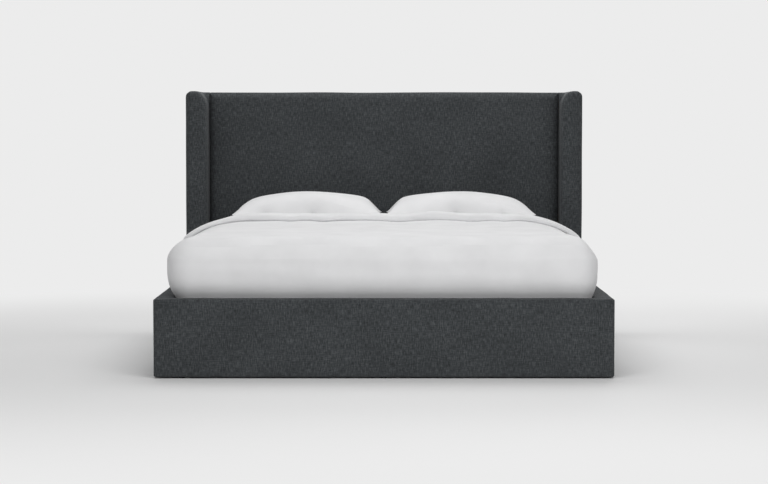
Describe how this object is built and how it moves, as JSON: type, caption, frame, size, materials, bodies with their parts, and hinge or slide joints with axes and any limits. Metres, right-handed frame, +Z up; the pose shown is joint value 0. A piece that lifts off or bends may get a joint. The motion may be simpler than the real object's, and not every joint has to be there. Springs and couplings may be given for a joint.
{
  "type": "upholstered bed",
  "caption": "Upholstered bed: padded box base down to the floor, tall headboard with wings, slats on a centre beam, mattress, turned-back duvet and pillows.",
  "frame": {"origin": "on the floor, at the centre of the bed's length and width", "axes": "+Y from the foot towards the headboard, +X to the right seen from the foot, +Z up"},
  "size_m": [2.184, 2.239, 1.354],
  "materials": {
    "charcoal_weave": "matte",
    "back_cloth": "matte",
    "foam": "matte",
    "frame_timber": "matte",
    "board": "matte",
    "slat_wood": "satin",
    "black_steel": "satin",
    "zinc_steel": "satin",
    "glide_plastic": "matte",
    "foot_plastic": "matte",
    "webbing": "matte",
    "mattress_fill": "matte",
    "ticking": "matte",
    "sheet_cotton": "matte",
    "duvet_cotton": "matte",
    "pillow_cotton": "matte"
  },
  "bodies": {
    "frame": {"side_rail_core_left": "frame_timber", "side_rail_foam_left": "foam", "side_rail_cover_left": "charcoal_weave", "wing_core_left": "frame_timber", "wing_foam_left": "foam", "wing_cover_left": "charcoal_weave", "headboard_post_left": "frame_timber", "slat_cleat_left": "frame_timber", "side_rail_core_right": "frame_timber", "side_rail_foam_right": "foam", "side_rail_cover_right": "charcoal_weave", "wing_core_right": "frame_timber", "wing_foam_right": "foam", "wing_cover_right": "charcoal_weave", "headboard_post_right": "frame_timber", "slat_cleat_right": "frame_timber", "footboard_core": "frame_timber", "footboard_foam": "foam", "footboard_cover": "charcoal_weave", "headboard_top_rail": "frame_timber", "headboard_middle_rail": "frame_timber", "headboard_bottom_rail": "frame_timber", "headboard_panel": "board", "headboard_foam": "foam", "headboard_cover": "charcoal_weave", "headboard_back_cover": "back_cloth", "centre_beam": "frame_timber", "beam_hangers": "black_steel", "centre_leg_1": "frame_timber", "centre_leg_2": "frame_timber", "centre_leg_3": "frame_timber", "slat_01": "slat_wood", "slat_02": "slat_wood", "slat_03": "slat_wood", "slat_04": "slat_wood", "slat_05": "slat_wood", "slat_06": "slat_wood", "slat_07": "slat_wood", "slat_08": "slat_wood", "slat_09": "slat_wood", "slat_10": "slat_wood", "slat_11": "slat_wood", "slat_12": "slat_wood", "slat_13": "slat_wood", "slat_straps": "webbing", "slat_screws": "zinc_steel", "cleat_bolts": "zinc_steel", "wing_bolts": "zinc_steel", "rail_hook_plates": "black_steel", "rail_slot_plates": "black_steel", "glides": "glide_plastic"},
    "mattress": {"mattress_core": "mattress_fill", "mattress_cover": "ticking", "fitted_sheet": "sheet_cotton"},
    "duvet": {"duvet": "duvet_cotton"},
    "pillow_left": {"pillow_left": "pillow_cotton"},
    "pillow_right": {"pillow_right": "pillow_cotton"},
    "levelling_foot_1": {"levelling_foot_1": "foot_plastic"},
    "levelling_foot_2": {"levelling_foot_2": "foot_plastic"},
    "levelling_foot_3": {"levelling_foot_3": "foot_plastic"}
  },
  "joints": [
    {"name": "mattress_lift", "type": "slide", "parent": "frame", "child": "mattress", "axis": [0, 0, 1], "range_m": [0, 0.45]},
    {"name": "duvet_lift", "type": "slide", "parent": "mattress", "child": "duvet", "axis": [0, 0, 1], "range_m": [0, 0.4]},
    {"name": "pillow_left_lift", "type": "slide", "parent": "mattress", "child": "pillow_left", "axis": [0, 0, 1], "range_m": [0, 0.4]},
    {"name": "pillow_right_lift", "type": "slide", "parent": "mattress", "child": "pillow_right", "axis": [0, 0, 1], "range_m": [0, 0.4]},
    {"name": "levelling_foot_1_turn", "type": "hinge", "parent": "frame", "child": "levelling_foot_1", "pos_m": [0, -0.62992, 0.02], "axis": [0, 0, 1], "range_deg": [-1800, 1800]},
    {"name": "levelling_foot_2_turn", "type": "hinge", "parent": "frame", "child": "levelling_foot_2", "pos_m": [0, 0, 0.02], "axis": [0, 0, 1], "range_deg": [-1800, 1800]},
    {"name": "levelling_foot_3_turn", "type": "hinge", "parent": "frame", "child": "levelling_foot_3", "pos_m": [0, 0.62992, 0.02], "axis": [0, 0, 1], "range_deg": [-1800, 1800]}
  ]
}
